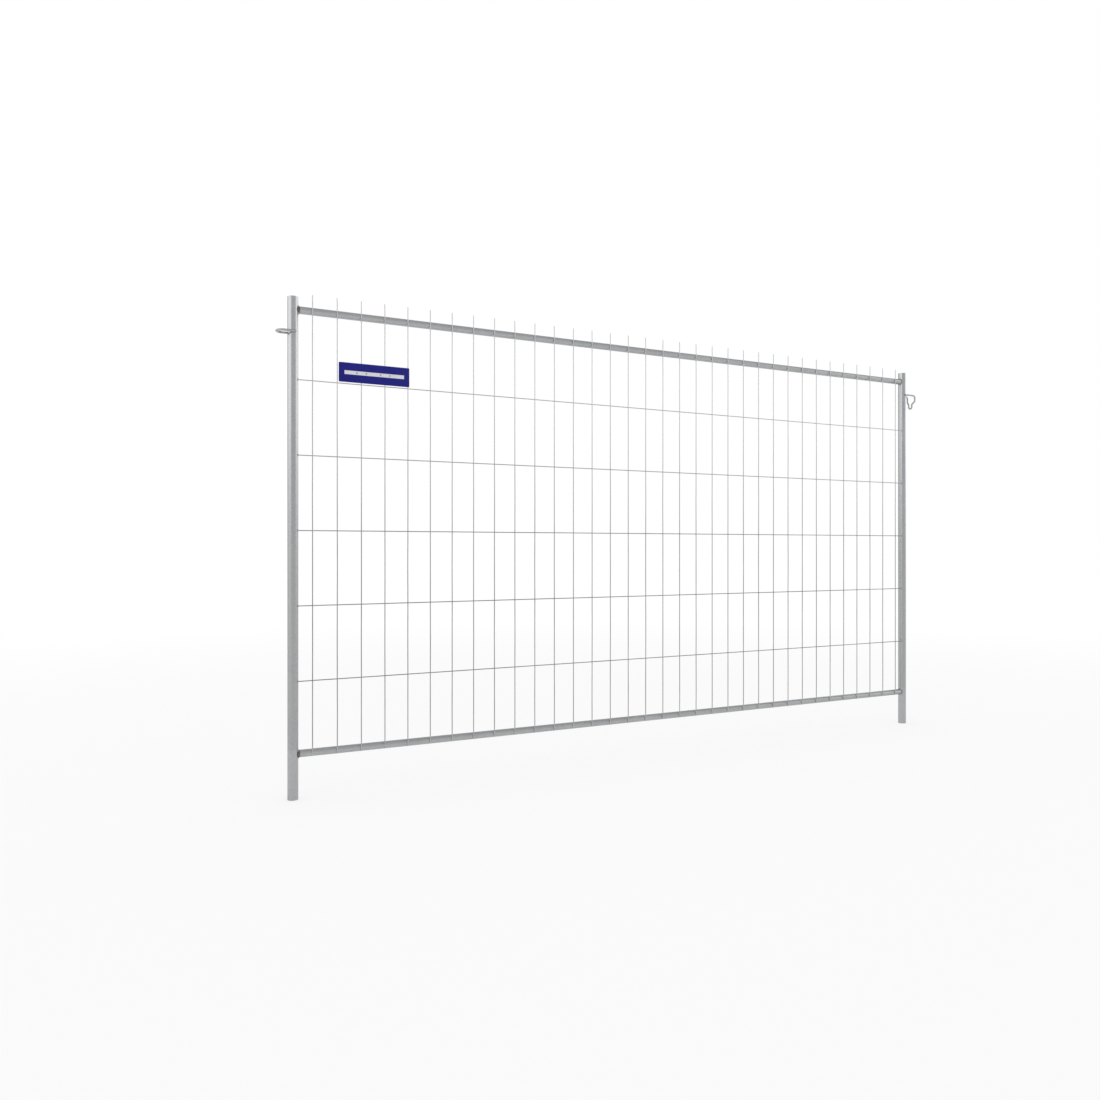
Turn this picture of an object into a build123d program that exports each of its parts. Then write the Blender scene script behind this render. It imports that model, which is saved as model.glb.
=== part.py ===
from build123d import *
import os

# Temporary fence panel, in millimetres: two round posts, two rails and a welded wire mesh.
# X runs along the panel from the left post to the right post, Z is up, and the mesh is on the -Y side.
# The origin is the middle of the left post's foot, on the ground.

# Posts
post_height = 2000.0
post_diameter = 42.4
post_wall = 1.5

# Rails
rail_diameter = 30.0
rail_wall = 1.5
bottom_rail_height = 180.0  # from the ground to the rail's axis
top_rail_drop = 50.0  # from the top of the posts to the rail's axis

# Wire mesh
wire_diameter = 4.0
upright_count = 34
upright_pitch = 100.0
upright_margin = 74.0  # from a post's axis to the nearest upright wire
upright_tip = 12.0  # how far the upright wires stand above the top of the posts
upright_tail = 12.0  # how far they run down past the axis of the bottom rail
cross_count = 5
cross_above_rail = 290.0  # from the bottom rail's axis to the lowest cross wire
cross_below_rail = 280.0  # from the top rail's axis to the highest cross wire
cross_sink = 0.6  # how deep crossing wires are welded into each other
wire_sides = 8

# Welds between rails and posts
weld_leg = 3.0
weld_rounding = 0.8  # of its leg

# Coupling eye on the left post
eye_bar = 9.0
eye_drop = 140.0  # from the top of the post to the eye's axis
eye_reach = 68.0  # from the post's axis to the outside of the loop
eye_lap = 6.0  # how far its arms run past the post's axis

# Coupling hook on the right post
hook_bar = 9.0
hook_drop = 126.0  # from the top of the post to the axis of its arms
hook_shoulder = 74.0  # from the post's axis to the corner where its arms turn down
hook_reach = 67.0  # from the post's axis to the axis of the hanging tongue
hook_lap = 0.0  # how far its arms run past the post's axis
hook_bend = 12.0
hook_flank = 32.0  # how far its sides hang straight down from the arms before they draw in
tongue_width = 22.0  # between the axes of its two legs
tongue_waist = 48.0  # how far below the arms the tongue reaches its width
tongue_drop = 72.0  # from the arms' axis down to the axis of the tongue's end
waist_bend = 8.0

# Sign plate
plate_width = 300.0
plate_height = 80.0
plate_thickness = 2.0
plate_corner = 4.0
plate_wire = 1  # the upright wire nearest to its left edge, counted from 0
plate_shift = 5.0  # from that wire's axis to the edge
plate_lift = 5.5  # from the axis of the top cross wire to the plate's lower edge
clamp_width = 60.0
clamp_height = 16.0
clamp_thickness = 2.0
clamp_corner = 3.0
clamp_wires = (2, 3)  # the upright wires that the clamps sit behind, counted from 0

# Clearances
seat = 0.3  # between a piece and the rounded piece that carries it
cut_margin = 5.0  # how far cutting shapes run past what they cut

# Sizes worked out from those above
post_radius = post_diameter / 2
rail_radius = rail_diameter / 2
wire_radius = wire_diameter / 2
post_spacing = 2 * upright_margin + (upright_count - 1) * upright_pitch
top_rail_height = post_height - top_rail_drop
upright_y = -(rail_radius + seat + wire_radius)
cross_y = upright_y + wire_diameter - cross_sink
upright_bottom = bottom_rail_height - upright_tail
upright_top = post_height + upright_tip
lowest_cross = bottom_rail_height + cross_above_rail
top_cross = top_rail_height - cross_below_rail
cross_pitch = (top_cross - lowest_cross) / (cross_count - 1)
eye_height = post_height - eye_drop
hook_height = post_height - hook_drop

os.makedirs("parts", exist_ok=True)


def save(piece, name):
    """Label a finished piece and write its file."""
    piece.part.label = name
    export_step(piece.part, f"parts/{name}.step")


def on_saddle(point, post_x, rail_z):
    """Whether a point lies on the outside of the weld, both round the post and round the rail."""
    from_post = Vector(point.X - post_x, point.Y, 0).length
    from_rail = Vector(0, point.Y, point.Z - rail_z).length
    near = abs(from_post - post_radius - weld_leg) + abs(from_rail - rail_radius - weld_leg)
    return near < seat


# Posts: plain tubes, open at both ends
for post_name, post_x in (("left_post", 0), ("right_post", post_spacing)):
    with BuildPart() as post:
        with BuildSketch(Plane.XY):
            with Locations((post_x, 0)):
                Circle(post_radius)
                Circle(post_radius - post_wall, mode=Mode.SUBTRACT)
        extrude(amount=post_height)
    save(post, post_name)

# Rails: tubes whose ends are shaped to the round posts
for rail_name, rail_z in (("bottom_rail", bottom_rail_height), ("top_rail", top_rail_height)):
    with BuildPart() as rail:
        with BuildSketch(Plane.YZ):
            with Locations((0, rail_z)):
                Circle(rail_radius)
                Circle(rail_radius - rail_wall, mode=Mode.SUBTRACT)
        extrude(amount=post_spacing)
        with BuildSketch(Plane.XY.offset(rail_z - rail_radius - cut_margin)):
            with Locations((0, 0), (post_spacing, 0)):
                Circle(post_radius + seat)
        extrude(amount=rail_diameter + 2 * cut_margin, mode=Mode.SUBTRACT)
    save(rail, rail_name)

    # Welds: a rounded ring of weld metal round each end of the rail, in its corner with the post
    for side, post_x, inward in (("left", 0, 1), ("right", post_spacing, -1)):
        with BuildPart() as weld:
            with BuildSketch(Plane.YZ.offset(post_x)):
                with Locations((0, rail_z)):
                    Circle(rail_radius + weld_leg)
                    Circle(rail_radius, mode=Mode.SUBTRACT)
            extrude(amount=inward * post_diameter)
            with BuildSketch(Plane.XY.offset(rail_z - rail_diameter)):
                with Locations((post_x, 0)):
                    Circle(post_radius + weld_leg)
            extrude(amount=2 * rail_diameter, mode=Mode.INTERSECT)
            toe = weld.edges().filter_by(lambda edge: on_saddle(edge @ 0, post_x, rail_z))
            fillet(toe, radius=weld_leg * weld_rounding)
            with BuildSketch(Plane.XY.offset(rail_z - rail_diameter)):
                with Locations((post_x, 0)):
                    Circle(post_radius)
            extrude(amount=2 * rail_diameter, mode=Mode.SUBTRACT)
        save(weld, f"{rail_name.replace('rail', side)}_weld")

# Wire mesh: upright wires in front of the rails, cross wires behind them, welded where they cross
with BuildPart() as wire_mesh:
    with BuildSketch(Plane.XY.offset(upright_bottom)):
        with Locations((post_spacing / 2, upright_y)):
            with GridLocations(upright_pitch, 0, upright_count, 1):
                RegularPolygon(wire_radius, wire_sides, major_radius=False, rotation=180 / wire_sides)
    extrude(amount=upright_top - upright_bottom)
    with BuildSketch(Plane.YZ):
        with Locations((cross_y, (lowest_cross + top_cross) / 2)):
            with GridLocations(0, cross_pitch, 1, cross_count):
                RegularPolygon(wire_radius, wire_sides, major_radius=False, rotation=180 / wire_sides)
    extrude(amount=post_spacing)
    with BuildSketch(Plane.XY):
        with Locations((0, 0), (post_spacing, 0)):
            Circle(post_radius + seat)
    extrude(amount=post_height, mode=Mode.SUBTRACT)
save(wire_mesh, "wire_mesh")

# Coupling eye: a round bar bent into a level loop, its arms along the front and back of the left post
eye_arm_y = post_radius + seat + eye_bar / 2
eye_turn_x = -(eye_reach - eye_bar / 2 - eye_arm_y)
with BuildPart() as coupling_eye:
    with BuildLine(Plane.XY.offset(eye_height)) as eye_path:
        front_arm = Line((eye_lap, -eye_arm_y), (eye_turn_x, -eye_arm_y))
        ThreePointArc(front_arm @ 1, (eye_turn_x - eye_arm_y, 0), (eye_turn_x, eye_arm_y))
        Line((eye_turn_x, eye_arm_y), (eye_lap, eye_arm_y))
    with BuildSketch(Plane(origin=eye_path.line @ 0, z_dir=eye_path.line % 0)):
        Circle(eye_bar / 2)
    sweep()
save(coupling_eye, "coupling_eye")

# Coupling hook: a round bar along the front and back of the right post, whose loop hangs down as a tongue
hook_arm_y = post_radius + seat + hook_bar / 2
hook_start_x = post_spacing - hook_lap
hook_shoulder_x = post_spacing + hook_shoulder
hook_tip_x = post_spacing + hook_reach
tongue_y = tongue_width / 2
waist_z = hook_height - tongue_waist
tongue_end_z = hook_height - tongue_drop
with BuildPart() as coupling_hook:
    with BuildLine() as hook_path:
        front_leg = FilletPolyline(
            (hook_start_x, -hook_arm_y, hook_height),
            (hook_shoulder_x, -hook_arm_y, hook_height),
            (hook_shoulder_x, -hook_arm_y, hook_height - hook_flank),
            (hook_tip_x, -tongue_y, waist_z),
            (hook_tip_x, -tongue_y, tongue_end_z + tongue_y),
            radius=(hook_bend, waist_bend, waist_bend),
        )
        ThreePointArc(
            front_leg @ 1,
            (hook_tip_x, 0, tongue_end_z),
            (hook_tip_x, tongue_y, tongue_end_z + tongue_y),
        )
        mirror(front_leg, about=Plane.XZ)
    with BuildSketch(Plane(origin=front_leg @ 0, z_dir=front_leg % 0)):
        Circle(hook_bar / 2)
    sweep()
save(coupling_hook, "coupling_hook")

# Sign plate: a flat plate on the front of the upright wires, held by two clamps behind them
plate_back_y = upright_y - wire_radius
plate_x = upright_margin + plate_wire * upright_pitch + plate_shift + plate_width / 2
plate_z = top_cross + plate_lift + plate_height / 2
with BuildPart() as sign_plate:
    with BuildSketch(Plane.XZ.offset(-plate_back_y)):
        with Locations((plate_x, plate_z)):
            RectangleRounded(plate_width, plate_height, plate_corner)
    extrude(amount=plate_thickness)
save(sign_plate, "sign_plate")

for number, wire in enumerate(clamp_wires, 1):
    with BuildPart() as clamp:
        with BuildSketch(Plane.XZ.offset(-(upright_y + wire_radius))):
            with Locations((upright_margin + wire * upright_pitch, plate_z)):
                RectangleRounded(clamp_width, clamp_height, clamp_corner)
        extrude(amount=-clamp_thickness)
    save(clamp, f"sign_clamp_{number}")
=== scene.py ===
import math
import random

import bmesh
import bpy
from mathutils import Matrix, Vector, noise


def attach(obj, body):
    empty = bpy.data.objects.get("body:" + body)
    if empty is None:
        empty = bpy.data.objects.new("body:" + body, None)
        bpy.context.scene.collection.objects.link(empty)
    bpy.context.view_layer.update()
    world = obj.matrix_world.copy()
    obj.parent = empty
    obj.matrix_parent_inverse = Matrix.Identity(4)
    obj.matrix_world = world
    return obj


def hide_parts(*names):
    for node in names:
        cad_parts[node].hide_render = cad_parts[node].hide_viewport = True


# Looks of the temporary fence panel: tubes, round welded wires, couplings and a sign plate.
# Lengths are metres in the frame of the solids: X along the panel, Z up, the wires on the -Y side.
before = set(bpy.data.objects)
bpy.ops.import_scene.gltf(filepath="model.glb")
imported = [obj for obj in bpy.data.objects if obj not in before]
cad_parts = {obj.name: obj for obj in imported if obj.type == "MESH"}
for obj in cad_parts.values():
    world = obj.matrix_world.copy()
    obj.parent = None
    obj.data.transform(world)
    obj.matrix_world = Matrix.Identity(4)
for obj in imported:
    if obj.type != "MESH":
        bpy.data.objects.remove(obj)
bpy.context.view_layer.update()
dice = random.Random(7)

# Tubes
LEFT_X = 0.0
RIGHT_X = 3.448
MIDDLE_X = (LEFT_X + RIGHT_X) / 2
POSTS = {"left": (LEFT_X, 1), "right": (RIGHT_X, -1)}  # a post's axis, and the way to the other post
POST_HEIGHT = 2.0
POST_RADIUS = 0.0212
POST_BORE = 0.0197
RAIL_ZS = {"bottom": 0.18, "top": 1.95}
RAIL_RADIUS = 0.015
RAIL_BORE = 0.0135
TUBE_SIDES = 96
RIM_ROUND = 0.0004
SEAT = 0.0003  # between a piece and the rounded piece that carries it

# Wires
WIRE_RADIUS = 0.002
WIRE_SIDES = 12
WIRE_CHAMFER = 0.0003
UPRIGHT_XS = [0.074 + 0.1 * number for number in range(34)]
UPRIGHT_Y = -0.0173
UPRIGHT_BOTTOM = 0.168
UPRIGHT_TOP = 2.012
UPRIGHT_BOW = 0.0006  # the most that a wire strays from straight between two of its welds
UPRIGHT_STEPS = 6  # from one weld to the next
CROSS_ZS = [0.47 + 0.3 * number for number in range(5)]
CROSS_Y = -0.0139
CROSS_END = math.sqrt(POST_RADIUS**2 - CROSS_Y**2)  # from a post's axis to a cross wire's end
CROSS_BOW = 0.0002
CROSS_STEPS = 3
TIP_LEAN = 0.0012
TIP_BEND = ((0.02, 0.1), (0.042, 0.5))  # heights above the top rail's axis, and shares of the lean

# Spot welds of the wires, their half sizes along X, Y and Z
CROSSING_WELD = (0.0026, 0.0011, 0.0026)
RAIL_WELD = (0.0027, 0.0009, 0.0042)
WIRE_END_WELD = (0.0036, 0.0034, 0.0040)
WIRE_END_OFFSET = 0.001  # from a cross wire's end to the middle of its weld
BLOB_SHAPE = (10, 6)  # sides and rings
WIRE_END_SHAPE = (14, 9)
BLOB_UNEVEN = 0.12
BLOB_GRAIN = 300.0
BLOB_GRAIN_RADIUS = 0.01  # of the ball round a blob's middle on which the noise is read

# Weld beads
BEAD_SIDES = 14
BEAD_TROUGH = 0.93  # of its radius, between two ripples
BEAD_RIPPLE = 0.14
BEAD_SWELL = 0.10
BEAD_GRAIN = 160.0
BEAD_TAPER_STEPS = 4
BEAD_TAPER_START = 0.6  # of a step
RAIL_BEAD_RADIUS = 0.0026
RAIL_BEAD_PITCH = 0.0024
RAIL_BEAD_STEPS = 224
RAIL_BEAD_LIFT = 0.0004
ARM_BEAD_RADIUS = 0.0023
ARM_BEAD_PITCH = 0.0026
ARM_BEAD_STEPS = 26  # round the end of an arm
ARM_BEAD_RUN_STEPS = 10  # along each side of an arm
ARM_BEAD_LIFT = 0.0009
ARM_BEAD_INSET = 0.0003
ARM_BEAD_FLATNESS = 0.5  # how round the bead runs about the arm's end, 1 for a half circle
ARM_BEAD_OVERLAP = 0.001  # how far it starts inside the arm's end

# Coupling eye
BAR_RADIUS = 0.0045
BAR_SIDES = 28
BAR_CHAMFER = 0.0006
ARM_Y = POST_RADIUS + SEAT + BAR_RADIUS
EYE_Z = 1.86
EYE_ARM_XS = (0.006, 0.0, -0.02)  # the end of its arms, then two more points on them
EYE_TURN_X = -0.0375
EYE_STEPS = 40
EYE_WELD_REACH = 0.013

# Coupling hook
HOOK_Z = 1.874
HOOK_ARM_XS = (RIGHT_X, 3.465)  # the end of its arms, then one more point on them
SHOULDER_X = 3.522
FLANK_Z = 1.842
HOOK_TIP_X = 3.515
TONGUE_Y = 0.011
WAIST_Z = 1.826
TONGUE_TURN_Z = 1.813
HOOK_BEND = 0.012
SHOULDER_STEPS = 16
WAIST_STEPS = 12
TONGUE_STEPS = 24
HOOK_WELD_REACH = 0.008

# Sign plate and its clamps, sizes and middles along X and Z
PLATE_SIZE = (0.300, 0.080)
PLATE_CENTRE = (0.329, 1.7155)
PLATE_CORNER = 0.004
PLATE_EDGE = 0.0005
PLATE_BACK_Y = UPRIGHT_Y - WIRE_RADIUS
PLATE_THICKNESS = 0.002
CLAMP_SIZE = (0.060, 0.016)
CLAMP_XS = (0.274, 0.374)
CLAMP_CORNER = 0.003
CLAMP_EDGE = 0.0004
CLAMP_FRONT_Y = UPRIGHT_Y + WIRE_RADIUS
CLAMP_THICKNESS = 0.002
CORNER_STEPS = 6
EDGE_MIDDLE = 0.3  # how far in the middle ring of a softened edge is, of the edge's size

# Screws: radii and distances from the plate's front, the clamp's back or the washer's back
SCREW_OFFSET = 0.020  # from a clamp's middle
SCREW_SIDES = 24
SCREW_HEAD = ((0.0033, 0.0), (0.0034, 0.0004), (0.0032, 0.0010), (0.0026, 0.0015), (0.0019, 0.0018))
SCREW_SOCKET = ((0.0026, 0.0018), (0.0024, 0.0008))  # across its flats, and above the plate
SHANK_RADIUS = 0.0024
SHANK_SINK = 0.0002  # how far below the head it takes over
SHANK_END = ((0.0020, 0.0068), (SHANK_RADIUS, 0.0064))
WASHER_BORE = 0.0026
WASHER_RADIUS = 0.0052
WASHER_THICKNESS = 0.0009
NUT_BORE = 0.0026
NUT_HEIGHT = 0.0040
NUT_LEVELS = ((0.0074, 0.0), (0.0080, 0.0003), (0.0080, 0.0036), (0.0072, NUT_HEIGHT))  # across flats

SHARP_ANGLE = math.radians(38)

NOISE_SPAN = (0.3, 0.7)  # most of the noise is between these values

# Zinc: the darkest and lightest tone of a material, and how much each pattern adds to its shade
DARKEST = 0.86
LIGHTEST = 1.14
SPANGLE_SHARE = 0.24
LINES_SHARE = 0.22
PATCHES_SHARE = 0.34
MOTTLE_SHARE = 0.20
SPANGLE_SCALE = 110.0
SPANGLE_WARP = 0.012
SPANGLE_WARP_SCALE = 90.0
DULL_PATCHES = (0.35, 0.75)  # the noise between which the patches grow dull
UPRIGHT_LINES = (1.0, 1.0, 0.02)  # draws the lines out along Z
LEVEL_LINES = (0.02, 1.0, 1.0)  # draws them out along X
BASE_ROUGHNESS = -0.05  # added to a material's own roughness; the patterns add the next two
SPANGLE_ROUGHNESS = 0.04
PATCHES_ROUGHNESS = 0.10
LINES_RELIEF = 0.35
MOTTLE_RELIEF = 0.4
ZINC_RELIEF = {"Strength": 0.25, "Distance": 0.0003}

# A dull film on the zinc that is partly painted shade: it darkens the zinc towards the ground and ends at
# the bottom rail
SHADE_FILM_TOP = (0.8, 1.85)  # whole below the first height, none above the second
SHADE_FILM_FOOT = (0.185, 0.215)
SHADE_FILM_THINNEST = 0.6
SHADE_FILM_COLOUR = (0.20, 0.195, 0.18, 1.0)
SHADE_FILM_ROUGHNESS = 0.3

# Darker zinc round the rails' welds, and the raw inside of the posts
JOINT_DARK_COLOUR = (0.15, 0.145, 0.14, 1.0)
JOINT_DARK_ROUGHNESS = 0.25
JOINT_DARK_THINNEST = 0.45
JOINT_DARK_MOTTLE = (0.25, 0.6)
JOINT_DARK_ON_POST = (0.0165, 0.0215)  # distances from the rail's end, between which it fades out
JOINT_DARK_ON_RAIL = (0.0225, 0.0280)  # distances from the post's axis
JOINT_DARK_FADE_XS = (1.0, 2.5)
RIGHT_JOINT_DARK = 0.35  # its strength at the right post, against 1 at the left one
BORE_ROUGHNESS = 0.5
BORE_FADE = (POST_BORE + 0.0002, POST_BORE + 0.0006)

# Weld metal
BROWN_SCALE = (0.11, 0.062, 0.036, 1.0)
BROWN_STAINS = (0.54, 0.70)
ZINC_SPRAY = (0.30, 0.46)  # the darkest and lightest grey of the zinc above and below a rail's middle
ZINC_SPRAY_HEIGHTS = (0.0095, 0.0135)
WELD_STAINS = (0.45, 0.7)
WELD_METALLIC = (0.9, 0.3)  # where there are no stains, and in them
WELD_ROUGHNESS = (0.38, 0.62)
WELD_RELIEF = {"Strength": 0.5, "Distance": 0.0004}

# Enamel: half sizes of the white band and of the worn rim, and the colours
BAND_HALF_WIDTH = (0.1262, 0.1270)
BAND_HALF_HEIGHT = (0.0073, 0.0080)
RIM_HALF_WIDTH = (0.1480, 0.1500)
RIM_HALF_HEIGHT = (0.0383, 0.0400)
RIM_CHIPS = (0.52, 0.66)
BLUES = ((0.0030, 0.0045, 0.150, 1.0), (0.0060, 0.0080, 0.235, 1.0))
WHITES = ((0.62, 0.63, 0.66, 1.0), (0.78, 0.78, 0.80, 1.0))
RIM_COLOUR = (0.10, 0.11, 0.16, 1.0)
ENAMEL_ROUGHNESS = (0.22, 0.36)
ENAMEL_RELIEF = {"Strength": 0.12, "Distance": 0.0002}

# Floor
WHITE = (1.0, 1.0, 1.0, 1.0)
FLOOR_MIDDLE = (MIDDLE_X, 0.0, 0.0)
FLOOR_PROFILE = ((60.0, 0.0), (59.0, 0.02), (59.0, 0.1))
FLOOR_SIDES = 96
FLOOR_COLOUR = (0.93, 0.93, 0.93, 1.0)
FLOOR_FADE = (2.5, 9.0)  # distances from the middle, between which its glow grows to the full
FLOOR_GLOW = 0.70
FLOOR_GLOW_IN_METAL = 0.25

# World: heights and directions are parts of a ray's unit vector
WALL_SIDEWAYS = (0.74, 0.80)
WALL_FOOT = (0.03, 0.11)
WALL_TOP = (0.35, 0.65)
WALL_COLOUR = (0.96, 0.985, 1.0, 1.0)
WALL_STRENGTH = 0.66
FRONT_DIM = 0.27
OVERHEAD_DIM = 0.36
OVERHEAD_HEIGHTS = (0.30, 0.75)
FILL_STRENGTH = 0.86

# Camera
CAMERA_PLACE = (-0.848, -3.750, 1.0)
CAMERA_WAY = (0.4722, 0.8815, 0.0)  # the direction that it looks in
CAMERA_LENS = 30.48
CAMERA_SENSOR = 36.0
CAMERA_SHIFT_Y = -0.0017
CAMERA_CLIP_END = 200.0


# Shapes


def skin(bm, rings, looped=False):
    """Join rings of points, as many in each, into one closed surface."""
    rows = [[bm.verts.new(point) for point in ring] for ring in rings]
    pairs = list(zip(rows, rows[1:]))
    if looped:
        pairs.append((rows[-1], rows[0]))
    else:
        bm.faces.new(reversed(rows[0]))
        bm.faces.new(rows[-1])
    for lower, upper in pairs:
        for i in range(len(lower)):
            j = (i + 1) % len(lower)
            bm.faces.new((lower[i], lower[j], upper[j], upper[i]))


def add_piece(name, bm, material, slot, *stands_for):
    """Turn a finished bmesh into a piece that rides on the panel."""
    bmesh.ops.recalc_face_normals(bm, faces=bm.faces)
    mesh = bpy.data.meshes.new(name)
    bm.to_mesh(mesh)
    bm.free()
    mesh.shade_smooth()
    mesh.set_sharp_from_angle(angle=SHARP_ANGLE)
    mesh.materials.append(material)
    piece = bpy.data.objects.new(name, mesh)
    bpy.context.scene.collection.objects.link(piece)
    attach(piece, "root")
    if stands_for:
        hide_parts(*stands_for)


def turns(sides):
    """The angles of evenly spaced points round a circle."""
    return [math.tau * k / sides for k in range(sides)]


def turned(centre, axis, profile, sides):
    """Rings round an axis, one for each (radius, distance along the axis) of the profile."""
    axis = Vector(axis).normalized()
    right = axis.orthogonal().normalized()
    up = axis.cross(right)
    rings = []
    for radius, along in profile:
        middle = Vector(centre) + axis * along
        rings.append([middle + (right * math.cos(a) + up * math.sin(a)) * radius for a in turns(sides)])
    return rings


def swept(points, radii, sides):
    """Round rings along a path, turned as little as possible from one to the next."""
    points = [Vector(point) for point in points]
    last = len(points) - 1
    reaches = [points[min(k + 1, last)] - points[max(k - 1, 0)] for k in range(last + 1)]
    tangents = [reach.normalized() for reach in reaches]
    right = tangents[0].orthogonal().normalized()
    rings = []
    for point, tangent, radius in zip(points, tangents, radii):
        right = (right - tangent * right.dot(tangent)).normalized()
        up = tangent.cross(right)
        rings.append([point + (right * math.cos(a) + up * math.sin(a)) * radius for a in turns(sides)])
    return rings


def with_chamfered_ends(points, radius, chamfer):
    """A path and its radii, with a short taper at both ends."""
    points = [Vector(point) for point in points]
    first = (points[1] - points[0]).normalized()
    final = (points[-2] - points[-1]).normalized()
    path = [points[0], points[0] + first * chamfer]
    path += [*points[1:-1], points[-1] + final * chamfer, points[-1]]
    radii = [radius - chamfer, *[radius] * (len(path) - 2), radius - chamfer]
    return path, radii


def arc(centre, right, up, radius, steps):
    """Points on a half circle that starts at the right of its centre and passes above it."""
    centre, right, up = Vector(centre), Vector(right), Vector(up)
    angles = [math.pi * k / steps for k in range(steps + 1)]
    return [centre + (right * math.cos(a) + up * math.sin(a)) * radius for a in angles]


def rounded(corner, before, after, radius, steps):
    """The points of a bend that rounds a corner between two straight runs."""
    corner = Vector(corner)
    to_before = (Vector(before) - corner).normalized()
    to_after = (Vector(after) - corner).normalized()
    half = to_before.angle(to_after) / 2
    bisector = (to_before + to_after).normalized()
    centre = corner + bisector * (radius / math.sin(half))
    start = corner + to_before * (radius / math.tan(half)) - centre
    end = corner + to_after * (radius / math.tan(half)) - centre
    return [centre + start.slerp(end, k / steps).normalized() * radius for k in range(steps + 1)]


def rail_end(radius, rail_z, post_x, inward):
    """The ring where a tube of this radius meets a post."""
    ring = []
    for angle in turns(TUBE_SIDES):
        y = radius * math.cos(angle)
        x = post_x + inward * math.sqrt((POST_RADIUS + SEAT) ** 2 - y * y)
        ring.append((x, y, rail_z + radius * math.sin(angle)))
    return ring


def bead(bm, path, radius, pitch, looped=False):
    """A rippled weld bead along a path of evenly spaced points."""
    step = (path[1] - path[0]).length
    radii = []
    for k, point in enumerate(path):
        crest = abs(math.sin(math.pi * k * step / pitch))
        swell = noise.noise(point * BEAD_GRAIN) * BEAD_SWELL
        radii.append(radius * (BEAD_TROUGH + BEAD_RIPPLE * crest + swell))
    if not looped:
        for k in range(BEAD_TAPER_STEPS):
            share = (k + BEAD_TAPER_START) / (BEAD_TAPER_STEPS + BEAD_TAPER_START)
            taper = math.sin(math.pi / 2 * share)
            radii[k] *= taper
            radii[-1 - k] *= taper
    skin(bm, swept(path, radii, BEAD_SIDES), looped)


def rail_bead(bm, rail_z, post_x, inward):
    """A bead round the end of a rail, in its corner with the post."""
    path = []
    for angle in turns(RAIL_BEAD_STEPS):
        y = RAIL_RADIUS * math.cos(angle)
        x = math.sqrt(POST_RADIUS**2 - y * y)
        off_post = Vector((inward * x, y, 0.0)).normalized()
        off_rail = Vector((0.0, math.cos(angle), math.sin(angle)))
        corner = Vector((post_x + inward * x, y, rail_z + RAIL_RADIUS * math.sin(angle)))
        path.append(corner + (off_post + off_rail) * RAIL_BEAD_LIFT)
    bead(bm, path, RAIL_BEAD_RADIUS, RAIL_BEAD_PITCH, looped=True)


def arm_bead(bm, post_x, end_x, outward, face, arm_z, reach):
    """A bead round the end of an arm, from one side of the bar to the other, on the post's surface."""
    gap = BAR_RADIUS - ARM_BEAD_INSET
    run = [reach * k / ARM_BEAD_RUN_STEPS for k in range(ARM_BEAD_RUN_STEPS + 1)]
    flat = [(along - reach, gap) for along in run[:-1]]
    for k in range(ARM_BEAD_STEPS + 1):
        turn = math.pi * k / ARM_BEAD_STEPS
        flat.append((gap * ARM_BEAD_FLATNESS * math.sin(turn), gap * math.cos(turn)))
    flat += [(-along, -gap) for along in run[1:]]
    path = []
    for along, lift in flat:
        x = end_x - outward * along
        y = math.sqrt(max(POST_RADIUS**2 - (x - post_x) ** 2, 0.0)) + ARM_BEAD_LIFT
        path.append(Vector((x, face * y, arm_z + lift)))
    bead(bm, path, ARM_BEAD_RADIUS, ARM_BEAD_PITCH)


def bowed(stations, bow, steps):
    """The line of a wire that is held at its stations and strays a little in between.

    Each point is a place along the wire, with how far it strays to the side and in depth.
    """
    points = []
    for first, second in zip(stations, stations[1:]):
        sideways, depth = dice.uniform(-bow, bow), dice.uniform(-bow, bow) / 2
        for k in range(steps):
            share = k / steps
            belly = math.sin(math.pi * share) ** 2
            points.append((first + (second - first) * share, sideways * belly, depth * belly))
    points.append((stations[-1], 0.0, 0.0))
    return points


def wire(bm, points):
    """A round wire with chamfered ends."""
    skin(bm, swept(*with_chamfered_ends(points, WIRE_RADIUS, WIRE_CHAMFER), WIRE_SIDES))


def bar(bm, points):
    """A round bar with chamfered ends."""
    skin(bm, swept(*with_chamfered_ends(points, BAR_RADIUS, BAR_CHAMFER), BAR_SIDES))


def blob(bm, centre, size, shape=BLOB_SHAPE):
    """A closed rounded lump with slightly uneven skin."""
    centre = Vector(centre)
    sides, rings = shape
    layers = []
    for number in range(rings):
        tilt = math.pi * (number + 0.5) / rings
        layer = []
        for turn in turns(sides):
            across = math.sin(tilt)
            unit = Vector((across * math.cos(turn), math.cos(tilt), across * math.sin(turn)))
            spot = (centre + unit * BLOB_GRAIN_RADIUS) * BLOB_GRAIN
            uneven = 1.0 + BLOB_UNEVEN * noise.noise(spot)
            layer.append(centre + Vector(unit[i] * size[i] * uneven for i in range(3)))
        layers.append(layer)
    skin(bm, layers)


def outline(centre, size, corner, y, inset):
    """A rectangle with rounded corners in a plane of constant y, drawn in by an inset."""
    half_x, half_z = size[0] / 2 - corner, size[1] / 2 - corner
    ring = []
    for quarter, (sign_x, sign_z) in enumerate(((1, 1), (-1, 1), (-1, -1), (1, -1))):
        for k in range(CORNER_STEPS + 1):
            angle = math.radians(90 * quarter + 90 / CORNER_STEPS * k)
            x = centre[0] + sign_x * half_x + (corner - inset) * math.cos(angle)
            z = centre[1] + sign_z * half_z + (corner - inset) * math.sin(angle)
            ring.append((x, y, z))
    return ring


def soft_plate(bm, centre, size, corner, front_y, thickness, edge):
    """A plate with softened edges."""
    back_y = front_y + thickness
    middle = edge * EDGE_MIDDLE
    levels = [(back_y, edge), (back_y - middle, middle), (back_y - edge, 0.0)]
    levels += [(front_y + edge, 0.0), (front_y + middle, middle), (front_y, edge)]
    skin(bm, [outline(centre, size, corner, y, inset) for y, inset in levels])


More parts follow.
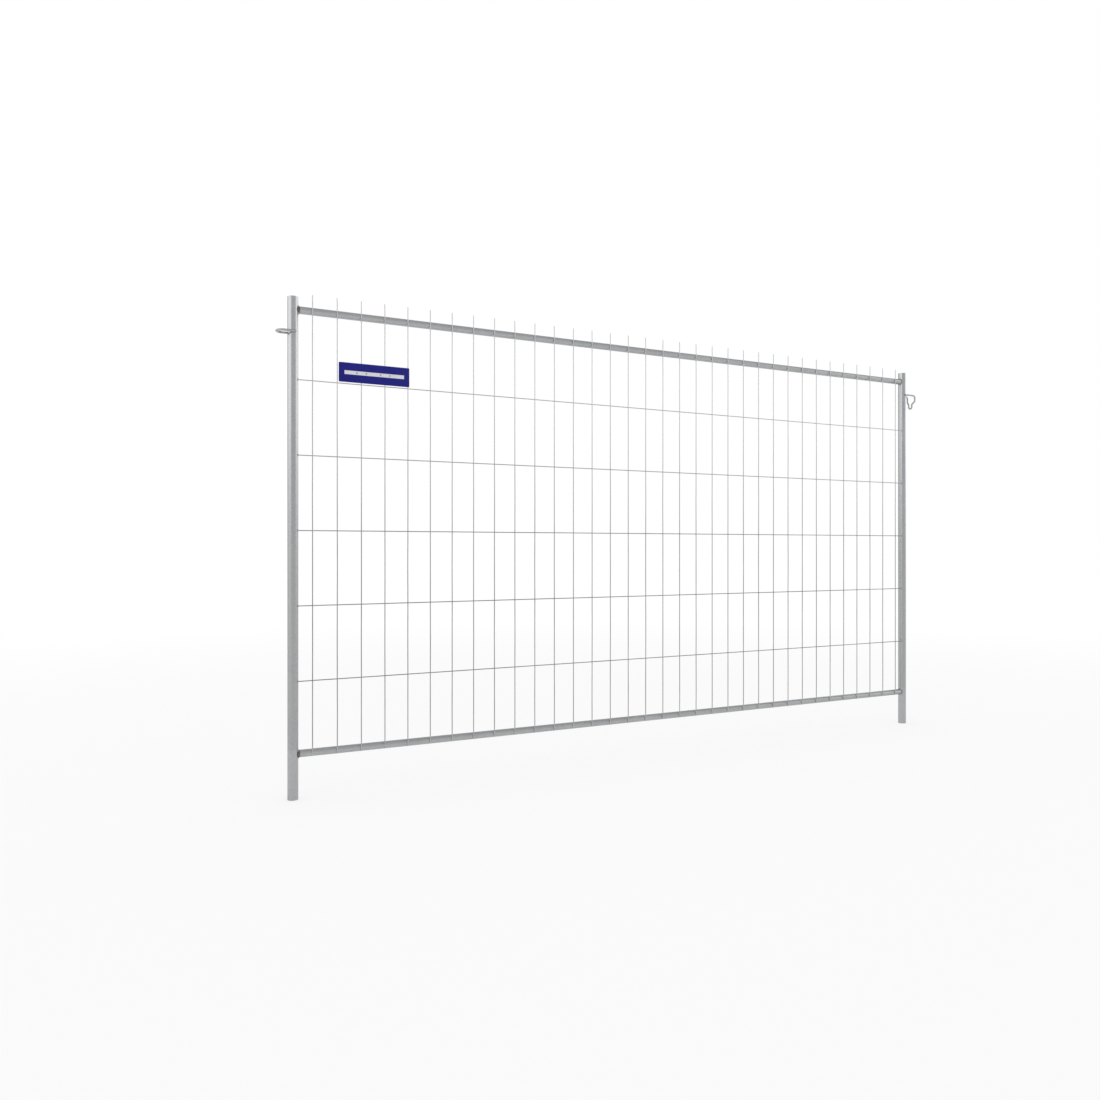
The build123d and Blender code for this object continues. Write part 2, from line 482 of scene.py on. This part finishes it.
def circle(centre, y, radius, turn):
    """A ring of a screw's points in a plane of constant y."""
    angles = [angle + turn for angle in turns(SCREW_SIDES)]
    return [(centre[0] + radius * math.cos(a), y, centre[1] + radius * math.sin(a)) for a in angles]


def hexagon(centre, y, across, turn):
    """A hexagon in a plane of constant y, with as many points as a circle."""
    ring = []
    for angle in turns(SCREW_SIDES):
        from_flat = angle % (math.pi / 3) - math.pi / 6
        radius = across / 2 / math.cos(from_flat)
        x = centre[0] + radius * math.cos(angle + turn)
        z = centre[1] + radius * math.sin(angle + turn)
        ring.append((x, y, z))
    return ring


def screw(bm, centre):
    """A screw with a socket in its round head, its washer and its nut."""
    turn = dice.uniform(0.0, 1.0)
    face = PLATE_BACK_Y - PLATE_THICKNESS
    back = CLAMP_FRONT_Y + CLAMP_THICKNESS
    rings = [circle(centre, back + along, radius, turn) for radius, along in SHANK_END]
    rings.append(circle(centre, face + SHANK_SINK, SHANK_RADIUS, turn))
    rings += [circle(centre, face - height, radius, turn) for radius, height in SCREW_HEAD]
    rings += [hexagon(centre, face - height, across, turn) for across, height in SCREW_SOCKET]
    skin(bm, rings)

    base = back + WASHER_THICKNESS
    washer = [(WASHER_BORE, back), (WASHER_RADIUS, back), (WASHER_RADIUS, base), (WASHER_BORE, base)]
    skin(bm, [circle(centre, y, radius, turn) for radius, y in washer], looped=True)
    nut = [hexagon(centre, base + along, across, turn) for across, along in NUT_LEVELS]
    nut += [circle(centre, base + NUT_HEIGHT, NUT_BORE, turn), circle(centre, base, NUT_BORE, turn)]
    skin(bm, nut, looped=True)


# Nodes


def node(tree, kind, inputs=None, **settings):
    """A new node, its settings made and its inputs either linked or given a value."""
    made = tree.nodes.new(kind)
    for key, value in settings.items():
        setattr(made, key, value)
    for key, value in (inputs or {}).items():
        if isinstance(value, bpy.types.NodeSocket):
            tree.links.new(value, made.inputs[key])
        else:
            made.inputs[key].default_value = value
    return made


def math_node(tree, operation, *values):
    """The result of one step of arithmetic."""
    return node(tree, "ShaderNodeMath", dict(enumerate(values)), operation=operation).outputs[0]


def vector_node(tree, operation, *values):
    """The outputs of one step of arithmetic with vectors."""
    return node(tree, "ShaderNodeVectorMath", dict(enumerate(values)), operation=operation).outputs


def parts(tree, vector):
    """The X, Y and Z of a vector."""
    return node(tree, "ShaderNodeSeparateXYZ", {"Vector": vector}).outputs


def object_place(tree):
    """The point that is shaded, in the object's own coordinates."""
    return node(tree, "ShaderNodeTexCoord").outputs["Object"]


def noise_node(tree, vector, scale, detail, roughness=0.55):
    """Fractal noise, with scale in waves per metre."""
    inputs = {"Vector": vector, "Scale": scale, "Detail": detail, "Roughness": roughness}
    return node(tree, "ShaderNodeTexNoise", inputs).outputs["Fac"]


def ramp(tree, value, low, high, to_low=0.0, to_high=1.0):
    """A smooth step from one value to another."""
    inputs = {"Value": value, "From Min": low, "From Max": high, "To Min": to_low, "To Max": to_high}
    return node(tree, "ShaderNodeMapRange", inputs, interpolation_type="SMOOTHSTEP").outputs["Result"]


def mix(tree, factor, first, second):
    """A colour between two colours."""
    inputs = {0: factor, 6: first, 7: second}  # 6 and 7 are the colours among the node's inputs
    return node(tree, "ShaderNodeMix", inputs, data_type="RGBA").outputs[2]


def least(tree, values):
    """The smallest of some values."""
    smallest, *others = values
    for value in others:
        smallest = math_node(tree, "MINIMUM", smallest, value)
    return smallest


def distance_from(tree, value, middle):
    """How far a value is from a number, either way."""
    return math_node(tree, "ABSOLUTE", math_node(tree, "SUBTRACT", value, middle))


def grey(value, blue=0.0):
    """A grey with a touch of blue, or of brown where blue is below 0."""
    return (value * (1 - blue), value, value * (1 + blue), 1.0)


# Materials


def blank_material(name, **inputs):
    """A material with one Principled shader, whose constant inputs are set on the shader itself."""
    material = bpy.data.materials.new(name)
    material.use_nodes = True
    shader = material.node_tree.nodes["Principled BSDF"]
    for key, value in inputs.items():
        shader.inputs[key.replace("_", " ")].default_value = value
    return material, material.node_tree, shader


def set_surface(tree, shader, colour, rough, height, relief):
    """Link a material's colour, roughness and bump to its shader."""
    bump = node(tree, "ShaderNodeBump", {"Height": height, **relief})
    tree.links.new(colour, shader.inputs["Base Color"])
    tree.links.new(rough, shader.inputs["Roughness"])
    tree.links.new(bump.outputs["Normal"], shader.inputs["Normal"])


def from_nearer_post(tree, x):
    """How far a point is from the nearer post's axis, towards the middle of the panel."""
    return math_node(tree, "SUBTRACT", MIDDLE_X, distance_from(tree, x, MIDDLE_X))


def joint_dark_mask(tree, x, away, fade):
    """A mask of darker zinc, which fades out away from a weld and is fainter at the right post."""
    strength = ramp(tree, x, *JOINT_DARK_FADE_XS, 1.0, RIGHT_JOINT_DARK)
    return math_node(tree, "MULTIPLY", ramp(tree, away, *fade, 1.0, 0.0), strength)


def near_rails(tree, place):
    """A mask of the darker zinc of a post, round the ends of the two rails."""
    x, y, z = parts(tree, place)
    inputs = {"X": from_nearer_post(tree, x), "Y": y, "Z": z}
    folded = node(tree, "ShaderNodeCombineXYZ", inputs).outputs[0]
    ends = [(POST_RADIUS, 0.0, rail_z) for rail_z in RAIL_ZS.values()]
    away = least(tree, [vector_node(tree, "DISTANCE", folded, end)["Value"] for end in ends])
    return joint_dark_mask(tree, x, away, JOINT_DARK_ON_POST)


def near_posts(tree, place):
    """A mask of the darker zinc of a rail, at its two ends."""
    x = parts(tree, place)[0]
    return joint_dark_mask(tree, x, from_nearer_post(tree, x), JOINT_DARK_ON_RAIL)


def in_posts(tree, place):
    """A mask of the inside of the posts."""
    x, y, _ = parts(tree, place)
    inward = from_nearer_post(tree, x)
    square = math_node(tree, "MULTIPLY_ADD", inward, inward, math_node(tree, "MULTIPLY", y, y))
    return ramp(tree, math_node(tree, "SQRT", square), *BORE_FADE, 1.0, 0.0)


def zinc(name, tone, roughness, film_and_shade, stretch=(1.0, 1.0, 1.0), joint_dark=None, bore=None):
    """Galvanised steel with spangle, drawn lines, dull patches, and a dull film with painted shade that
    darkens it towards the ground.

    film_and_shade is the strength of the dull film and its painted shade. stretch scales the lines along
    X, Y and Z, where a small number draws them out. joint_dark and bore make masks of darker zinc round a
    weld and of the inside of a tube.
    """
    material, tree, shader = blank_material(name, Metallic=1.0)
    place = object_place(tree)
    along = node(tree, "ShaderNodeMapping", {"Vector": place, "Scale": stretch}).outputs["Vector"]
    lines = noise_node(tree, along, scale=420.0, detail=3.0)
    patches = noise_node(tree, place, scale=5.0, detail=7.0, roughness=0.62)
    mottle = noise_node(tree, place, scale=60.0, detail=5.0)

    # The spangle's cells, bent a little by noise; 4 and 5 are the vectors among the Mix node's inputs
    inputs = {"Vector": place, "Scale": SPANGLE_WARP_SCALE}
    bends = node(tree, "ShaderNodeTexNoise", inputs).outputs["Color"]
    inputs = {0: SPANGLE_WARP, 4: place, 5: bends}
    warped = node(tree, "ShaderNodeMix", inputs, data_type="VECTOR").outputs[1]
    cells = node(tree, "ShaderNodeTexVoronoi", {"Vector": warped, "Scale": SPANGLE_SCALE})
    spangle = node(tree, "ShaderNodeSeparateColor", {"Color": cells.outputs["Color"]}).outputs[0]

    shade = math_node(tree, "MULTIPLY", spangle, SPANGLE_SHARE)
    shade = math_node(tree, "MULTIPLY_ADD", lines, LINES_SHARE, shade)
    shade = math_node(tree, "MULTIPLY_ADD", ramp(tree, patches, *NOISE_SPAN), PATCHES_SHARE, shade)
    shade = math_node(tree, "MULTIPLY_ADD", mottle, MOTTLE_SHARE, shade)
    colour = mix(tree, shade, grey(tone * DARKEST, 0.02), grey(tone * LIGHTEST, 0.01))
    base = roughness + BASE_ROUGHNESS
    dull = ramp(tree, patches, *DULL_PATCHES)
    rough = math_node(tree, "MULTIPLY_ADD", spangle, SPANGLE_ROUGHNESS, base)
    rough = math_node(tree, "MULTIPLY_ADD", dull, PATCHES_ROUGHNESS, rough)

    # Painted shade: a dull, darker film on the zinc, whole towards the ground, thinning upwards and gone
    # at the bottom rail
    height = parts(tree, place)[2]
    thickness = ramp(tree, patches, *NOISE_SPAN, SHADE_FILM_THINNEST, 1.0)
    shade_film = math_node(tree, "MULTIPLY", ramp(tree, height, *SHADE_FILM_TOP, 1.0, 0.0), thickness)
    shade_film = math_node(tree, "MULTIPLY", shade_film, ramp(tree, height, *SHADE_FILM_FOOT))
    shade_film = math_node(tree, "MULTIPLY", shade_film, film_and_shade)
    colour = mix(tree, shade_film, colour, SHADE_FILM_COLOUR)
    rough = math_node(tree, "MULTIPLY_ADD", shade_film, SHADE_FILM_ROUGHNESS, rough)

    # Darker, mottled zinc round the rails' welds, strongest at the left post
    if joint_dark:
        thickness = ramp(tree, mottle, *JOINT_DARK_MOTTLE, JOINT_DARK_THINNEST, 1.0)
        joint_darkening = math_node(tree, "MULTIPLY", joint_dark(tree, place), thickness)
        colour = mix(tree, joint_darkening, colour, JOINT_DARK_COLOUR)
        rough = math_node(tree, "MULTIPLY_ADD", joint_darkening, JOINT_DARK_ROUGHNESS, rough)
    if bore:
        rough = math_node(tree, "MULTIPLY_ADD", bore(tree, place), BORE_ROUGHNESS, rough)

    relief = math_node(tree, "MULTIPLY", mottle, MOTTLE_RELIEF)
    relief = math_node(tree, "MULTIPLY_ADD", lines, LINES_RELIEF, relief)
    set_surface(tree, shader, colour, rough, relief, ZINC_RELIEF)
    return material


def weld_metal(name, dark, light, scale):
    """Weld metal with brown scale, and sprayed with zinc above and below a rail's middle.

    dark and light are the greys of the metal, and scale is the share of brown in the stains.
    """
    material, tree, shader = blank_material(name)
    place = object_place(tree)
    grain = noise_node(tree, place, scale=700.0, detail=5.0)
    stains = noise_node(tree, place, scale=120.0, detail=4.0)
    colour = mix(tree, grain, grey(dark, -0.03), grey(light, -0.03))
    colour = mix(tree, ramp(tree, stains, *BROWN_STAINS, 0.0, scale), colour, BROWN_SCALE)
    height = parts(tree, place)[2]
    off_rail = least(tree, [distance_from(tree, height, rail_z) for rail_z in RAIL_ZS.values()])
    sprayed = ramp(tree, off_rail, *ZINC_SPRAY_HEIGHTS)
    colour = mix(tree, sprayed, colour, mix(tree, grain, *[grey(value) for value in ZINC_SPRAY]))
    metallic = ramp(tree, stains, *WELD_STAINS, *WELD_METALLIC)
    tree.links.new(metallic, shader.inputs["Metallic"])
    rough = ramp(tree, grain, *NOISE_SPAN, *WELD_ROUGHNESS)
    set_surface(tree, shader, colour, rough, grain, WELD_RELIEF)
    return material


def enamel():
    """Deep blue enamel with a plain white band on the front, worn a little at the rim."""
    material, tree, shader = blank_material("enamel", Specular_IOR_Level=0.25)
    place = object_place(tree)
    x, y, z = parts(tree, place)
    from_middle_x = distance_from(tree, x, PLATE_CENTRE[0])
    from_middle_z = distance_from(tree, z, PLATE_CENTRE[1])
    haze = noise_node(tree, place, scale=24.0, detail=6.0)
    peel = noise_node(tree, place, scale=380.0, detail=3.0)

    in_width = ramp(tree, from_middle_x, *BAND_HALF_WIDTH, 1.0, 0.0)
    in_height = ramp(tree, from_middle_z, *BAND_HALF_HEIGHT, 1.0, 0.0)
    in_front = math_node(tree, "LESS_THAN", y, PLATE_BACK_Y - PLATE_THICKNESS / 2)
    band = math_node(tree, "MULTIPLY", math_node(tree, "MULTIPLY", in_width, in_height), in_front)
    colour = mix(tree, band, mix(tree, haze, *BLUES), mix(tree, haze, *WHITES))

    rim_x = ramp(tree, from_middle_x, *RIM_HALF_WIDTH)
    rim_z = ramp(tree, from_middle_z, *RIM_HALF_HEIGHT)
    chips = ramp(tree, peel, *RIM_CHIPS)
    rim = math_node(tree, "MULTIPLY", math_node(tree, "MAXIMUM", rim_x, rim_z), chips)
    colour = mix(tree, rim, colour, RIM_COLOUR)
    rough = ramp(tree, haze, *NOISE_SPAN, *ENAMEL_ROUGHNESS)
    set_surface(tree, shader, colour, rough, peel, ENAMEL_RELIEF)
    return material


# The film strengths set how much painted shade darkens each zinc towards the ground, most on the wires
post_zinc = zinc(
    "post_zinc",
    tone=0.46,
    roughness=0.24,
    film_and_shade=0.22,
    stretch=UPRIGHT_LINES,
    joint_dark=near_rails,
    bore=in_posts,
)
rail_zinc = zinc("rail_zinc", tone=0.45, roughness=0.30, film_and_shade=0.10, stretch=LEVEL_LINES, joint_dark=near_posts)
wire_zinc = zinc("wire_zinc", tone=0.52, roughness=0.28, film_and_shade=0.75)
bar_zinc = zinc("bar_zinc", tone=0.45, roughness=0.32, film_and_shade=0.10)
screw_zinc = zinc("screw_zinc", tone=0.42, roughness=0.22, film_and_shade=0.10)
weld_bare = weld_metal("weld_bare", dark=0.075, light=0.20, scale=1.0)
weld_sprayed = weld_metal("weld_sprayed", dark=0.28, light=0.46, scale=0.35)
plate_blue = enamel()

# Posts: open tubes with softened rims
post_profile = [
    (POST_RADIUS, RIM_ROUND),
    (POST_RADIUS, POST_HEIGHT - RIM_ROUND),
    (POST_RADIUS - RIM_ROUND, POST_HEIGHT),
    (POST_BORE + RIM_ROUND, POST_HEIGHT),
    (POST_BORE, POST_HEIGHT - RIM_ROUND),
    (POST_BORE, RIM_ROUND),
    (POST_BORE + RIM_ROUND, 0.0),
    (POST_RADIUS - RIM_ROUND, 0.0),
]
for side, (post_x, _) in POSTS.items():
    bm = bmesh.new()
    skin(bm, turned((post_x, 0.0, 0.0), (0, 0, 1), post_profile, TUBE_SIDES), looped=True)
    add_piece(f"{side}_post_tube", bm, post_zinc, "post_zinc", f"{side}_post")

# Rails: tubes whose ends follow the round posts
for level, rail_z in RAIL_ZS.items():
    bm = bmesh.new()
    outside = [rail_end(RAIL_RADIUS, rail_z, *post) for post in POSTS.values()]
    inside = [rail_end(RAIL_BORE, rail_z, *post) for post in reversed(POSTS.values())]
    skin(bm, outside + inside, looped=True)
    add_piece(f"{level}_rail_tube", bm, rail_zinc, "rail_zinc", f"{level}_rail")

# Welds of the rails to the posts: bare metal at the left post, sprayed with zinc at the right one
for level, rail_z in RAIL_ZS.items():
    for side, post in POSTS.items():
        bm = bmesh.new()
        rail_bead(bm, rail_z, *post)
        metal = weld_bare if side == "left" else weld_sprayed
        add_piece(f"{level}_{side}_bead", bm, metal, "weld_zinc", f"{level}_{side}_weld")

# Wires: nearly straight between the places where they are welded
bm = bmesh.new()
bottom_z, top_z = RAIL_ZS.values()
for wire_x in UPRIGHT_XS:
    line = bowed([bottom_z, *CROSS_ZS, top_z], UPRIGHT_BOW, UPRIGHT_STEPS)
    lean = dice.uniform(-TIP_LEAN, TIP_LEAN)
    tip = [(top_z + height, share) for height, share in TIP_BEND] + [(UPRIGHT_TOP, 1.0)]
    points = [Vector((wire_x, UPRIGHT_Y, UPRIGHT_BOTTOM))]
    points += [Vector((wire_x + sideways, UPRIGHT_Y + depth, z)) for z, sideways, depth in line]
    points += [Vector((wire_x + lean * share, UPRIGHT_Y, z)) for z, share in tip]
    wire(bm, points)
for wire_z in CROSS_ZS:
    line = bowed([LEFT_X + CROSS_END, *UPRIGHT_XS, RIGHT_X - CROSS_END], CROSS_BOW, CROSS_STEPS)
    wire(bm, [Vector((x, CROSS_Y + depth, wire_z + sideways)) for x, sideways, depth in line])
add_piece("mesh_wires", bm, wire_zinc, "wire_zinc", "wire_mesh")

# Spot welds: where wires cross, on the rails, and where cross wires meet the posts
bm = bmesh.new()
seam_y = (UPRIGHT_Y + CROSS_Y) / 2
for wire_x in UPRIGHT_XS:
    for wire_z in CROSS_ZS:
        blob(bm, (wire_x, seam_y, wire_z), CROSSING_WELD)
    for rail_z in RAIL_ZS.values():
        blob(bm, (wire_x, -RAIL_RADIUS - SEAT, rail_z), RAIL_WELD)
for wire_z in CROSS_ZS:
    for post_x, inward in POSTS.values():
        weld_x = post_x + inward * (CROSS_END + WIRE_END_OFFSET)
        blob(bm, (weld_x, CROSS_Y, wire_z), WIRE_END_WELD, WIRE_END_SHAPE)
add_piece("wire_welds", bm, bar_zinc, "weld_zinc")

# Coupling eye on the left post
eye_loop = arc((EYE_TURN_X, 0, EYE_Z), (0, -1, 0), (-1, 0, 0), ARM_Y, EYE_STEPS)
front_arm = [Vector((x, -ARM_Y, EYE_Z)) for x in EYE_ARM_XS]
back_arm = [Vector((x, ARM_Y, EYE_Z)) for x in reversed(EYE_ARM_XS)]
bm = bmesh.new()
bar(bm, front_arm + eye_loop + back_arm)
add_piece("eye_bar", bm, bar_zinc, "coupling_zinc", "coupling_eye")

# Coupling hook on the right post, whose loop narrows to a hanging tongue
corners = [
    (HOOK_ARM_XS[0], -ARM_Y, HOOK_Z),
    (SHOULDER_X, -ARM_Y, HOOK_Z),
    (SHOULDER_X, -ARM_Y, FLANK_Z),
    (HOOK_TIP_X, -TONGUE_Y, WAIST_Z),
    (HOOK_TIP_X, -TONGUE_Y, TONGUE_TURN_Z),
]
front_leg = [Vector((x, -ARM_Y, HOOK_Z)) for x in HOOK_ARM_XS]
for number, steps in ((1, SHOULDER_STEPS), (2, WAIST_STEPS), (3, WAIST_STEPS)):
    before, corner, after = corners[number - 1 : number + 2]
    front_leg += rounded(corner, before, after, HOOK_BEND, steps)
tongue = arc((HOOK_TIP_X, 0, TONGUE_TURN_Z), (0, -1, 0), (0, 0, -1), TONGUE_Y, TONGUE_STEPS)
back_leg = [Vector((point.x, -point.y, point.z)) for point in reversed(front_leg)]
bm = bmesh.new()
bar(bm, front_leg + tongue + back_leg)
add_piece("hook_bar", bm, bar_zinc, "coupling_zinc", "coupling_hook")

# Welds of the couplings' arms, on the front and back of the posts
for name, post_x, end_x, outward, arm_z, reach in (
    ("eye_welds", LEFT_X, EYE_ARM_XS[0] - ARM_BEAD_OVERLAP, -1, EYE_Z, EYE_WELD_REACH),
    ("hook_welds", RIGHT_X, HOOK_ARM_XS[0] + ARM_BEAD_OVERLAP, 1, HOOK_Z, HOOK_WELD_REACH),
):
    bm = bmesh.new()
    for face in (-1, 1):
        arm_bead(bm, post_x, end_x, outward, face, arm_z, reach)
    add_piece(name, bm, weld_sprayed, "weld_zinc")

# Sign plate, the clamps behind it, and the screws with their washers and nuts
bm = bmesh.new()
plate_front_y = PLATE_BACK_Y - PLATE_THICKNESS
soft_plate(bm, PLATE_CENTRE, PLATE_SIZE, PLATE_CORNER, plate_front_y, PLATE_THICKNESS, PLATE_EDGE)
add_piece("plate_face", bm, plate_blue, "plate_enamel", "sign_plate")
for number, clamp_x in enumerate(CLAMP_XS, 1):
    bm = bmesh.new()
    centre = (clamp_x, PLATE_CENTRE[1])
    soft_plate(bm, centre, CLAMP_SIZE, CLAMP_CORNER, CLAMP_FRONT_Y, CLAMP_THICKNESS, CLAMP_EDGE)
    add_piece(f"clamp_strip_{number}", bm, bar_zinc, "clamp_zinc", f"sign_clamp_{number}")
bm = bmesh.new()
for clamp_x in CLAMP_XS:
    for offset in (-SCREW_OFFSET, SCREW_OFFSET):
        screw(bm, (clamp_x + offset, PLATE_CENTRE[1]))
add_piece("plate_screws", bm, screw_zinc, "clamp_zinc")

# Floor: a pale sheet that keeps soft shadows near the panel and is plain white far from it
floor_bm = bmesh.new()
skin(floor_bm, turned(FLOOR_MIDDLE, (0, 0, -1), FLOOR_PROFILE, FLOOR_SIDES))
bmesh.ops.recalc_face_normals(floor_bm, faces=floor_bm.faces)
floor_mesh = bpy.data.meshes.new("floor")
floor_bm.to_mesh(floor_mesh)
floor_bm.free()
floor = bpy.data.objects.new("floor", floor_mesh)
bpy.context.scene.collection.objects.link(floor)

material = bpy.data.materials.new("floor_white")
material.use_nodes = True
tree = material.node_tree
tree.nodes.clear()
away = vector_node(tree, "DISTANCE", object_place(tree), FLOOR_MIDDLE)["Value"]
path = node(tree, "ShaderNodeLightPath").outputs
seen = math_node(tree, "MAXIMUM", path["Is Camera Ray"], path["Is Transmission Ray"])
in_metal = math_node(tree, "MULTIPLY", path["Is Glossy Ray"], FLOOR_GLOW_IN_METAL)
seen = math_node(tree, "MAXIMUM", seen, in_metal)
glow = math_node(tree, "MULTIPLY", seen, ramp(tree, away, *FLOOR_FADE, FLOOR_GLOW, 1.0))
sheet = node(tree, "ShaderNodeBsdfDiffuse", {"Color": FLOOR_COLOUR}).outputs[0]
white = node(tree, "ShaderNodeEmission", {"Color": WHITE}).outputs[0]
surface = node(tree, "ShaderNodeMixShader", {0: glow, 1: sheet, 2: white}).outputs[0]
node(tree, "ShaderNodeOutputMaterial", {"Surface": surface})
floor_mesh.materials.append(material)

# World: a white studio, dimmer overhead and in front, with a long soft light wall beyond each end of
# the panel. A camera ray sees it plain white.
world = bpy.data.worlds.new("studio")
bpy.context.scene.world = world
world.use_nodes = True
world.cycles.sampling_method = "NONE"
tree = world.node_tree
tree.nodes.clear()
way = node(tree, "ShaderNodeTexCoord").outputs["Generated"]
height = parts(tree, way)[2]
level_way = vector_node(tree, "MULTIPLY", way, (1.0, 1.0, 0.0))[0]
level_way = vector_node(tree, "NORMALIZE", level_way)[0]
sideways = math_node(tree, "ABSOLUTE", parts(tree, level_way)[0])
ends = ramp(tree, sideways, *WALL_SIDEWAYS)
wall = math_node(tree, "MULTIPLY", ends, ramp(tree, height, *WALL_TOP, 1.0, 0.0))
wall = math_node(tree, "MULTIPLY", wall, ramp(tree, height, *WALL_FOOT))

path = node(tree, "ShaderNodeLightPath").outputs
seen = math_node(tree, "MAXIMUM", path["Is Camera Ray"], path["Is Glossy Ray"])
seen = math_node(tree, "MAXIMUM", seen, path["Is Transmission Ray"])
off_camera = math_node(tree, "SUBTRACT", 1.0, path["Is Camera Ray"])
dim = math_node(tree, "MULTIPLY", math_node(tree, "SUBTRACT", 1.0, ends), FRONT_DIM)
dim = math_node(tree, "MAXIMUM", dim, ramp(tree, height, *OVERHEAD_HEIGHTS, 0.0, OVERHEAD_DIM))
dim = math_node(tree, "SUBTRACT", 1.0, math_node(tree, "MULTIPLY", dim, off_camera))
white_level = math_node(tree, "MULTIPLY", seen, dim)
fill_level = math_node(tree, "MULTIPLY", math_node(tree, "SUBTRACT", 1.0, seen), FILL_STRENGTH)
wall_level = math_node(tree, "MULTIPLY", math_node(tree, "MULTIPLY", wall, off_camera), WALL_STRENGTH)
white, fill, walls = [
    node(tree, "ShaderNodeBackground", {"Color": colour, "Strength": level}).outputs[0]
    for colour, level in ((WHITE, white_level), (WHITE, fill_level), (WALL_COLOUR, wall_level))
]
light = node(tree, "ShaderNodeAddShader", {0: white, 1: fill}).outputs[0]
light = node(tree, "ShaderNodeAddShader", {0: light, 1: walls}).outputs[0]
node(tree, "ShaderNodeOutputWorld", {"Surface": light})

# Camera: level, 1 m above the ground, in front of the panel and to the left of it
camera_data = bpy.data.cameras.new("camera")
camera_data.sensor_width = CAMERA_SENSOR
camera_data.lens = CAMERA_LENS
camera_data.shift_y = CAMERA_SHIFT_Y
camera_data.clip_end = CAMERA_CLIP_END
camera = bpy.data.objects.new("camera", camera_data)
bpy.context.scene.collection.objects.link(camera)
camera.location = CAMERA_PLACE
camera.rotation_mode = "QUATERNION"
camera.rotation_quaternion = Vector(CAMERA_WAY).to_track_quat("-Z", "Y")
bpy.context.scene.camera = camera
bpy.context.scene.view_settings.view_transform = "Standard"
